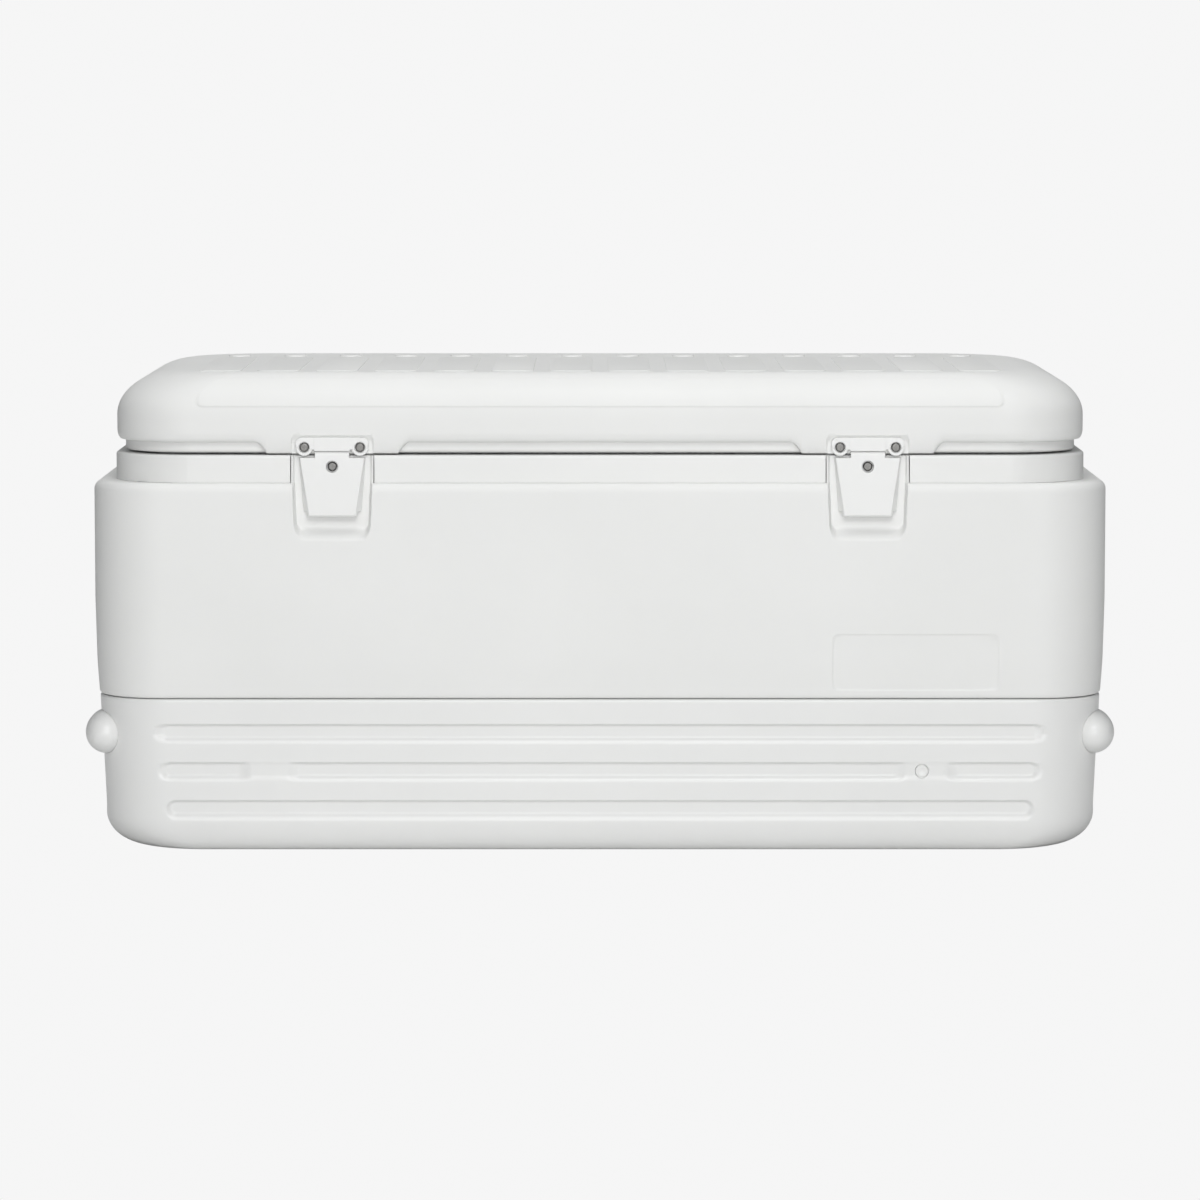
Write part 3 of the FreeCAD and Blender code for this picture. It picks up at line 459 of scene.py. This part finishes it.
def build_body():
    a, b = BODY_CORE
    zones = [(BADGE[0] - 2.0, BADGE[0] + 3.0, 0.6), (BADGE[1] - 3.0, BADGE[1] + 2.0, 0.6)]
    for x in LATCHES:
        for edge in (-1.0, 1.0):
            middle = x + edge * (RECESS_HALF - 3.0)
            zones.append((middle - 5.0, middle + 5.0, 0.7))
            rim = x + edge * RECESS_HALF
            zones.append((rim - 0.1, rim + 0.1, 0.1))
        zones.append((x - RECESS_HALF, x + RECESS_HALF, 4.0))
    lines = columns(BODY_CORE, spaced(-a, a, 9.0, zones), spaced(-a, a, 12.0), spaced(-b, b, 12.0))
    rows, outer = body_rows()
    points = loft(lines, rows)
    front = lines[:, 3] < -0.999
    skin = points[:outer]
    x, y, z = skin[:, front, 0], skin[:, front, 1], skin[:, front, 2]
    mask = latch_recess_mask(x, z)
    y = y + mask * (-RECESS_Y - y)
    inset = np.minimum(np.minimum(x - BADGE[0], BADGE[1] - x), np.minimum(z - BADGE[2], BADGE[3] - z))
    near = [np.clip(BADGE_R - gap, 0, BADGE_R)
            for gap in (x - BADGE[0], BADGE[1] - x, z - BADGE[2], BADGE[3] - z)]
    corner = np.hypot(near[0] + near[1], near[2] + near[3])
    inset = np.where(inset > 0, np.minimum(inset, BADGE_R - corner), inset)
    y = y + BADGE_DEPTH * ramp(inset / 1.6)
    skin[:, front, 1] = y
    across = points[0, front, 0]
    for centre in LATCHES:
        lifted = np.abs(across - centre) < RECESS_HALF - 0.02
        for level in (outer, outer + 1):
            z_row = points[level, front, 2]
            z_row[lifted] = COLLAR_TOP - 0.6
            points[level, front, 2] = z_row
    body = solid_from_grid("body_shell_moulding", points, ring=True)
    shade(body)
    return finish_piece(body, "chest", "shell_white", SHELL, "body_shell")


# ------------------------------------------------------------------ base tray

def tray_half(z):
    """Half length and half width of the tray at height z."""
    return [np.interp(z, (TRAY_TURN, TRAY_TOP), pair) for pair in zip(TRAY_FOOT, TRAY_BROW)]


def tray_rows():
    """Rows of the tray from its underside up and down the inside, and the number of rows on its skin."""
    a, b = TRAY_CORE

    def row(hx, hy, z):
        return (a, b, hx - a, hy - b, z)

    rows = []
    for t in range(0, 90, 5):
        s, c = math.sin(math.radians(t)), math.cos(math.radians(t))
        in_x, in_y = TRAY_TURN_IN[0] * (1 - s), TRAY_TURN_IN[1] * (1 - s)
        rows.append((a - in_x, b - in_y, TRAY_FOOT[0] - a, TRAY_FOOT[1] - b, TRAY_TURN * (1 - c)))
    zones = [(z - CHANNEL_HALF - 0.4, z + CHANNEL_HALF + 0.4, 0.85) for z, _ in CHANNELS]
    zones.append((122.0, 129.0, 1.0))
    for z in spaced(TRAY_TURN, TRAY_TOP - 3.0, 3.0, zones):
        rows.append(row(*tray_half(z), z))
    hx, hy = tray_half(TRAY_TOP)
    for t in range(20, 91, 14):
        s, c = math.sin(math.radians(t)), math.cos(math.radians(t))
        tuck = TRAY_RIM_R * (1 - c)
        rows.append(row(hx - tuck, hy - tuck, TRAY_TOP - TRAY_RIM_R * (1 - s)))
    outer = len(rows)
    rows += [row(*size) for size in TRAY_INSIDE]
    return rows, outer


def channel_depth(x, z):
    """Scooped channels: steep under their upper edge, easing out towards the lower one."""
    depth = np.zeros_like(x)
    for number, (centre, half) in enumerate(CHANNELS):
        beyond = np.maximum(np.abs(x) - (half - CHANNEL_HALF), 0.0)
        inside = CHANNEL_HALF - np.hypot(beyond, z - centre)
        lean = ramp(0.5 + 0.5 * (z - centre) / CHANNEL_HALF)
        slope = CHANNEL_EASE[0] - (CHANNEL_EASE[0] - CHANNEL_EASE[1]) * lean
        scoop = CHANNEL_DEPTH * ramp(inside / slope)
        if number == PADDED:
            for low, high in PADS:
                start, length = PAD_EASE
                pad = ramp((x - low + start) / length) * ramp((high + start - x) / length)
                scoop = scoop * (1.0 - PAD_SHARE * pad)
        depth = np.maximum(depth, scoop)
    return depth


def round_pocket(u, v, half_u, half_v, radius, wall):
    """1 on the floor of a rounded rectangular pocket around the origin, easing across its walls."""
    du = np.maximum(np.abs(u) - (half_u - radius), 0.0)
    dv = np.maximum(np.abs(v) - (half_v - radius), 0.0)
    inside = radius - np.hypot(du, dv)
    return ramp(inside / wall)


def hub_shape(side, front, gap):
    """A handle hub with its rounded nose, grown by gap; the grown shape cuts the hub's pocket."""
    start, length = HUB_NOSE
    shares = [0.999, 0.99, 0.97, 0.94, 0.9, 0.85, 0.79, 0.72, 0.64, 0.54, 0.42, 0.28, 0.12, 0.0]
    radius = HUB_R + gap
    profile = [(start - length * u - gap * u, radius * (1.0 - u ** HUB_ROUND) ** (1.0 / HUB_ROUND))
               for u in shares]
    profile.append((HUB_BACK + gap, radius))
    return lathe_y("hub_shape", profile, side * HUB_X, HUB_Z, 96, flip=front < 0)


def handle_lugs():
    """Fixed lugs in the end recesses that hold the pivot pins."""
    lugs = []
    for side in (-1.0, 1.0):
        for y0 in LUG_STARTS:
            y1 = y0 + LUG_LENGTH
            profile = [(y0, LUG_R - LUG_RIM), (y0 + LUG_RIM, LUG_R), (y1 - LUG_RIM, LUG_R),
                       (y1, LUG_R - LUG_RIM)]
            lugs.append(lathe_y("lug", profile, side * HUB_X, HUB_Z, 64))
            x0, x1 = sorted((side * 446.0, side * HUB_X))
            half = LUG_R - 0.1
            lugs.append(rounded_block("lug_foot", (x0, y0 + 0.02, HUB_Z - half),
                                      (x1, y1 - 0.1, HUB_Z + half), LUG_RIM, 1, LUG_RIM))
    return lugs


def build_base():
    a, b = TRAY_CORE
    ends = [(side * 407.0 - 14.0, side * 407.0 + 14.0, 1.2) for side in (-1.0, 1.0)]
    pads = [(x - 9.0, x + 9.0, 1.5) for pair in PADS for x in pair]
    port = [(PORT_X - PORT_R - 1.5, PORT_X + PORT_R + 1.5, 0.7)]
    pocket = [(DRAIN_X + s * (DRAIN_HALF - 1.5) - 3.0, DRAIN_X + s * (DRAIN_HALF - 1.5) + 3.0, 0.75)
              for s in (-1.0, 1.0)]
    lines = columns(TRAY_CORE, spaced(-a, a, 9.0, ends + pads + port), spaced(-a, a, 9.0, ends + pocket),
                    spaced(-b, b, 8.0))
    rows, outer = tray_rows()
    points = loft(lines, rows)
    skin = points[:outer]
    x, y, z = skin[:, :, 0].copy(), skin[:, :, 1].copy(), skin[:, :, 2].copy()
    nx, ny = lines[:, 2], lines[:, 3]
    depth = np.where(np.abs(ny) > 0.9, channel_depth(x, z), 0.0)
    blank = ramp((np.abs(x - DRAIN_X) - DRAIN_HALF - 6.0) / 12.0)
    depth = np.where(ny > 0.9, depth * blank, depth)
    from_port = np.hypot(x - PORT_X, z - PORT_Z)
    depth = np.where(ny < -0.9, depth + PORT_DEPTH * ramp((PORT_R - from_port) / 0.9 + 0.3), depth)
    skin[:, :, 0] -= depth * nx
    skin[:, :, 1] -= depth * ny
    floor_x, half, low, high = HANDLE_RECESS
    mask = round_pocket(y, z - (low + high) / 2.0, half, (high - low) / 2.0, 16.0, 4.5)
    mask = np.where(np.abs(nx) > 0.9, mask, 0.0)
    skin[:, :, 0] += mask * (np.sign(nx) * floor_x - skin[:, :, 0])
    mask = round_pocket(x - DRAIN_X, z - DRAIN_Z, DRAIN_HALF, DRAIN_HALF, 10.0, 2.6)
    mask = np.where(ny > 0.999, mask, 0.0)
    skin[:, :, 1] += mask * (DRAIN_FLOOR - skin[:, :, 1])
    base = solid_from_grid("base_tray_moulding", points)
    hubs = [hub_shape(side, front, HUB_GAP) for side in (-1.0, 1.0) for front in (1, -1)]
    combine(base, hubs, "DIFFERENCE")
    combine(base, handle_lugs(), "UNION")
    shade(base)
    return finish_piece(base, "chest", "tray_white", BASE, "base_tray")


def build_port_plug():
    """Dished plug at the bottom of the foam port."""
    face = PORT_FACE
    r = PORT_R - 0.35
    profile = [(face, 2.4), (face - 0.25, 3.2), (face - 0.35, r - 1.4), (face - 0.1, r - 0.3),
               (face + 0.5, r), (face + 2.0, r)]
    plug = lathe_y("foam_port_plug_disc", profile, PORT_X, PORT_Z, 48)
    shade(plug)
    return finish_piece(plug, "chest", "tray_white", BASE, "foam_port_plug")


# ------------------------------------------------------------------ lid

def lid_rows(inset, low, tuck):
    """Rows from the lid's edge up to its flat top, all inset alike."""
    a, b = LID_CORE
    r = LID_R - inset
    rows = []
    for t in range(90, -1, -10):
        s, c = math.sin(math.radians(t)), math.cos(math.radians(t))
        rows.append((a, b, r - tuck * (1 - c), r - tuck * (1 - c), low + 2.2 * tuck * (1 - s)))
    zones = [(386.0, 393.0, 0.6)]
    for z in spaced(rows[-1][4] + 1.5, CROWN_Z - 1.0, 3.0, zones):
        rows.append((a, b, r, r, z))
    top = CROWN_TOP - inset
    rise = top - CROWN_Z
    zones = [(PANEL[2] - 2.0, PANEL[2] + 3.0, 0.6), (PANEL[3] - 3.0, PANEL[3] + 2.0, 0.5)]
    for z in spaced(CROWN_Z, top - 1.6, 2.5, zones):
        t = (z - CROWN_Z) / rise
        bend = 1.0 - math.sqrt(1.0 - t * t)
        rows.append((a - CROWN_IN[0] * bend, b - CROWN_IN[1] * bend, r, r, z))
    for s in (0.985, 0.993, 0.998, 1.0):
        bend = 1.0 - math.sqrt(1.0 - s * s)
        rows.append((a - CROWN_IN[0] * bend, b - CROWN_IN[1] * bend, r, r, CROWN_Z + rise * s))
    return rows


def lower_tabs(points, x, low, lift):
    """Pull the lid's edge down behind each latch, with slanted shoulders."""
    for centre in LATCHES:
        away = np.abs(x - centre)
        share = np.clip((TAB_HALF + 10.0 - away) / 11.0, 0.0, 1.0) ** 1.8
        z = points[:, :, 2]
        near = np.clip((low + lift - z) / lift, 0.0, 1.0)
        points[:, :, 2] = z - share * near * (LID_EDGE - TAB_EDGE)


def top_pads():
    """Raised pads and round studs of the lid's top."""
    tools = []
    foot = CROWN_TOP - 1.0
    for i in range(PAD_COUNT):
        x = (i - (PAD_COUNT - 1) / 2.0) * PAD_PITCH
        tools.append(rounded_block("pad", (x - 20.0, -172.0, foot), (x + 20.0, 92.0, CROWN_TOP + 0.6),
                                   8.0, 2, 0.55))
        tools.append(rounded_block("stud", (x - 11.0, 111.0, foot), (x + 11.0, 133.0, LID_TOP),
                                   10.9, 2, 1.1))
    return tools


def build_lid():
    a, b = LID_CORE
    zones = []
    for x in LATCHES:
        for edge in (-1.0, 1.0):
            zones.append((x + edge * RECESS_HALF - 2.0, x + edge * RECESS_HALF + 2.0, 0.5))
            zones.append((x + edge * (TAB_HALF + 4.0) - 7.0, x + edge * (TAB_HALF + 4.0) + 7.0, 1.0))
        zones.append((x - RECESS_HALF, x + RECESS_HALF, 4.0))
    zones += [(s * 375.0 - 9.5, s * 375.0 + 9.5, 0.9) for s in (-1.0, 1.0)]
    lines = columns(LID_CORE, spaced(-a, a, 8.0, zones), spaced(-a, a, 12.0), spaced(-b, b, 12.0))
    inner = loft(lines, lid_rows(LID_WALL, LID_EDGE, 0.01)[::-1])
    outer = loft(lines, lid_rows(0.0, LID_EDGE, LID_TUCK))
    front = lines[:, 3] < -0.999
    for part in (inner, outer):
        strip = part[:, front]
        lower_tabs(strip, strip[:, :, 0], LID_EDGE, 12.0)
        part[:, front] = strip
    x, y, z = outer[:, front, 0], outer[:, front, 1], outer[:, front, 2]
    for centre in LATCHES:
        away = np.abs(x - centre)
        wide = np.clip((RECESS_HALF + POCKET_GAP - away) / 1.6, 0.0, 1.0)
        corner = POCKET_R - np.hypot(np.clip(away - (RECESS_HALF + POCKET_GAP - POCKET_R), 0, 9),
                                     np.clip(z - (POCKET_TOP + POCKET_GAP - POCKET_R), 0, 99))
        mask = ramp(np.minimum(wide, corner / 1.6))
        y = y + mask * (-POCKET_Y - y)
    share = np.clip((z - PANEL[2]) / (PANEL[3] - PANEL[2]), 0.0, 1.0)
    edge = PANEL[1] + (PANEL[0] - PANEL[1]) * share
    inset = np.minimum(np.minimum(edge - np.abs(x), z - PANEL[2]), (PANEL[3] - z) * 1.4)
    corner = PANEL_R - np.hypot(np.clip(np.abs(x) - (edge - PANEL_R), 0, 99),
                                np.clip(PANEL[2] + PANEL_R - z, 0, 99))
    y = y - PANEL_RISE * ramp(np.minimum(inset, corner) / 1.6)
    outer[:, front, 1] = y
    lid = solid_from_grid("lid_shell_moulding", np.concatenate([inner, outer]))
    combine(lid, top_pads(), "UNION")
    shade(lid)
    return finish_piece(lid, "lid", "shell_white", SHELL, "lid_shell")


# ------------------------------------------------------------------ hidden foam

FOAM_GAP = 0.7                   # between the lid's inner face and its foam
FOAM_STEP = 40.0
BODY_FOAM = [(430.0, 174.0, 6.0), (443.4, 185.4, 13.0), (443.4, 185.4, 129.0), (461.0, 199.0, 162.0),
             (461.0, 199.0, 342.0), (441.0, 184.6, 342.0), (441.0, 184.6, 30.0)]


def foam_columns(core):
    a, b = core
    return columns(core, spaced(-a, a, FOAM_STEP), spaced(-a, a, FOAM_STEP), spaced(-b, b, FOAM_STEP))


def build_foam():
    """Insulation that follows the inside of the mouldings and the outside of the tub."""
    a, b = TRAY_CORE
    rows = [(a, b, hx - a, hy - b, z) for hx, hy, z in BODY_FOAM]
    body = solid_from_grid("body_foam_core", loft(foam_columns(TRAY_CORE), rows))
    shade(body)
    finish_piece(body, "chest", "foam", FOAM, "body_foam")
    rows = lid_rows(LID_WALL + FOAM_GAP, LID_EDGE + 0.6, 0.01)
    lid = solid_from_grid("lid_foam_core", loft(foam_columns(LID_CORE), rows))
    shade(lid)
    finish_piece(lid, "lid", "foam", FOAM, "lid_foam")


# ------------------------------------------------------------------ small mouldings

def softened(node, name, body, slot, material, voxel, passes, keep, first=(), added=(), cuts=()):
    """Moulded version of a small part: its shape with every edge rounded off a little.

    Before that, first is cut away, added is joined on and cuts are cut away, in this order.
    """
    piece = place(name, frame["nodes"][node].data.copy())
    mesh = bmesh.new()
    mesh.from_mesh(piece.data)
    bmesh.ops.remove_doubles(mesh, verts=mesh.verts, dist=1e-6)
    mesh.to_mesh(piece.data)
    mesh.free()
    for tools, operation in ((first, "DIFFERENCE"), (added, "UNION"), (cuts, "DIFFERENCE")):
        if tools:
            combine(piece, tools, operation)
    remesh = piece.modifiers.new("remesh", "REMESH")
    remesh.mode = "VOXEL"
    remesh.voxel_size = voxel * MM
    remesh.adaptivity = 0.0
    smooth = piece.modifiers.new("smooth", "SMOOTH")
    smooth.factor = 0.5
    smooth.iterations = passes
    thin = piece.modifiers.new("thin", "DECIMATE")
    thin.ratio = keep
    bpy.context.view_layer.update()
    apply_modifiers(piece)
    shade(piece, 60.0)
    return finish_piece(piece, body, slot, material, node)


def arc_slot(x, z, inward):
    """Slot that sets a screw ear off from the middle of its bridge, along the inner lower side."""
    thin, wide, y0, y1 = SLOT
    rows = []
    for t in range(28, -119, -7):
        c, s = math.cos(math.radians(t)), math.sin(math.radians(t))
        rows.append([(x + inward * r * c, y, z + r * s)
                     for r, y in ((thin, y0), (wide, y0), (wide, y1), (thin, y1))])
    rows = np.array(rows)
    return solid_from_grid("slot", rows if inward > 0 else rows[:, ::-1])


def bridge_parts(x):
    """Flush bar and ears on a latch plate, then the slots and the screw holes to cut."""
    added = [rounded_block("bar", (x - 34.0, -213.3, 378.6), (x + 34.0, -207.0, 389.4), 5.2, 1, 0.3)]
    cuts = []
    for ear in (-EAR_X, EAR_X):
        added.append(lathe_y("ear", [(-212.7, 7.4), (-212.4, 7.9), (-207.0, 8.0)], x + ear, EAR_Z))
        cuts.append(arc_slot(x + ear, EAR_Z, 1.0 if ear < 0 else -1.0))
        cuts.append(lathe_y("hole", [(-216.0, 5.1), (-210.62, 5.1)], x + ear, EAR_Z))
    return added, cuts


END_HALF = 24.0                  # blocks that take off the handle ends before the hubs go on
END_LENGTH = 70.0
END_STARTS = (-222.0, 152.0)


def build_small_mouldings():
    for side, x in zip(("left", "right"), LATCHES):
        added, cuts = bridge_parts(x)
        softened("latch_plate_" + side, "latch_bridge_" + side, "lid", "latch_white", LATCH,
                 0.3, 3, 0.35, (), added, cuts)
        hubs = [hub_shape(math.copysign(1.0, x), front, 0.0) for front in (1, -1)]
        hub_x = math.copysign(HUB_X, x)
        ends = [rounded_block("end", (hub_x - END_HALF, y0, HUB_Z - END_HALF),
                              (hub_x + END_HALF, y0 + END_LENGTH, HUB_Z + END_HALF), 2.0, 1, 0.2)
                for y0 in END_STARTS]
        softened("latch_tongue_" + side, "latch_flap_" + side, "latch_" + side, "latch_white", LATCH,
                 0.32, 4, 0.35)
        softened("bail_handle_" + side, "carry_handle_" + side, "handle_" + side, "tray_white", BASE,
                 0.8, 5, 0.4, ends, hubs)


CAD_FINISH = {
    "tub_liner": LINER, "lid_liner": LINER,
    "drain_spigot": LINER, "drain_nut": LINER, "drain_cap": LINER,
    "drain_seal": RUBBER, "drain_cap_seal": RUBBER, "strike_posts": LATCH,
}


def finish_cad_nodes():
    """Finish the nodes whose own shape is shown."""
    for name, node in frame["nodes"].items():
        if name.startswith(("hinge_body_leaf", "hinge_lid_leaf")):
            material = LATCH
        else:
            material = CAD_FINISH.get(name, STEEL)
        for slot in node.material_slots:
            slot.material = material


# ------------------------------------------------------------------ stage, lights and camera

BACKDROP = (0.92, 0.92, 0.92, 1.0)


def build_stage():
    """Floor that shows as the backdrop to the camera and takes the light as pale card."""
    mesh = bpy.data.meshes.new("floor")
    reach = 60.0                 # metres
    corners = [(-reach, -reach, 0), (reach, -reach, 0), (reach, reach, 0), (-reach, reach, 0)]
    mesh.from_pydata(corners, [], [(0, 1, 2, 3)])
    floor = place("floor", mesh)
    material, tree, shader = new_material("pale_floor")
    tone = add_noise(tree, 0.6, 1.0)
    tree.links.new(blend_colors(tree, tone, (0.76, 0.76, 0.757), (0.78, 0.78, 0.777)),
                   shader.inputs["Base Color"])
    shader.inputs["Roughness"].default_value = 1.0
    shader.inputs["Specular IOR Level"].default_value = 0.0
    glow = tree.nodes.new("ShaderNodeEmission")
    glow.inputs["Color"].default_value = BACKDROP
    path = tree.nodes.new("ShaderNodeLightPath")
    mix = tree.nodes.new("ShaderNodeMixShader")
    tree.links.new(path.outputs["Is Camera Ray"], mix.inputs[0])
    tree.links.new(shader.outputs[0], mix.inputs[1])
    tree.links.new(glow.outputs[0], mix.inputs[2])
    tree.links.new(mix.outputs[0], tree.nodes["Material Output"].inputs["Surface"])
    mesh.materials.append(material)


def build_world():
    """Pale surroundings; they light the chest less than they show, as in a studio with dark sides."""
    world = bpy.data.worlds.new("studio")
    bpy.context.scene.world = world
    world.use_nodes = True
    tree = world.node_tree
    tree.nodes.clear()
    shown = tree.nodes.new("ShaderNodeBackground")
    shown.inputs["Color"].default_value = BACKDROP
    lighting = tree.nodes.new("ShaderNodeBackground")
    lighting.inputs["Color"].default_value = (0.96, 0.985, 1.0, 1.0)
    lighting.inputs["Strength"].default_value = 0.19
    path = tree.nodes.new("ShaderNodeLightPath")
    mix = tree.nodes.new("ShaderNodeMixShader")
    out = tree.nodes.new("ShaderNodeOutputWorld")
    tree.links.new(path.outputs["Is Camera Ray"], mix.inputs[0])
    tree.links.new(lighting.outputs[0], mix.inputs[1])
    tree.links.new(shown.outputs[0], mix.inputs[2])
    tree.links.new(mix.outputs[0], out.inputs["Surface"])


def add_softbox(name, place_at, aim, width, height, power, shine=True):
    light = bpy.data.lights.new(name, "AREA")
    light.shape = "RECTANGLE"
    light.size = width
    light.size_y = height
    light.energy = power
    lamp = bpy.data.objects.new(name, light)
    lamp.location = place_at
    lamp.visible_camera = False
    lamp.visible_glossy = shine
    lamp.rotation_euler = (Vector(aim) - Vector(place_at)).to_track_quat("-Z", "Y").to_euler()
    bpy.context.scene.collection.objects.link(lamp)


def build_lights():
    middle = (0.0, 0.0, 0.25)
    add_softbox("key_softbox", (0.2, -3.3, 3.0), middle, 1.9, 1.2, 55.0)
    add_softbox("fill_softbox", (0.15, -4.7, 0.9), middle, 2.4, 1.0, 61.0)
    add_softbox("top_softbox", (0.1, -0.2, 3.2), middle, 1.8, 1.2, 33.0, shine=False)
    add_softbox("rear_softbox", (-0.7, 3.6, 2.4), middle, 2.2, 1.4, 44.0, shine=False)


CAMERA_AT = (0.0, -5.216, 0.706)                # metres
CAMERA_AIM = (0.0, 0.0, 0.2177)
LENS_MM = 161.2
SENSOR_MM = 36.0


def build_camera():
    data = bpy.data.cameras.new("camera")
    data.lens = LENS_MM
    data.sensor_width = SENSOR_MM
    data.clip_end = 200.0
    camera = bpy.data.objects.new("camera", data)
    camera.location = CAMERA_AT
    camera.rotation_euler = (Vector(CAMERA_AIM) - camera.location).to_track_quat("-Z", "Y").to_euler()
    bpy.context.scene.collection.objects.link(camera)
    bpy.context.scene.camera = camera


finish_cad_nodes()
build_body()
build_base()
build_port_plug()
build_lid()
build_foam()
build_small_mouldings()
build_stage()
build_world()
build_lights()
build_camera()
bpy.context.scene.view_settings.view_transform = "Standard"
bpy.context.view_layer.update()
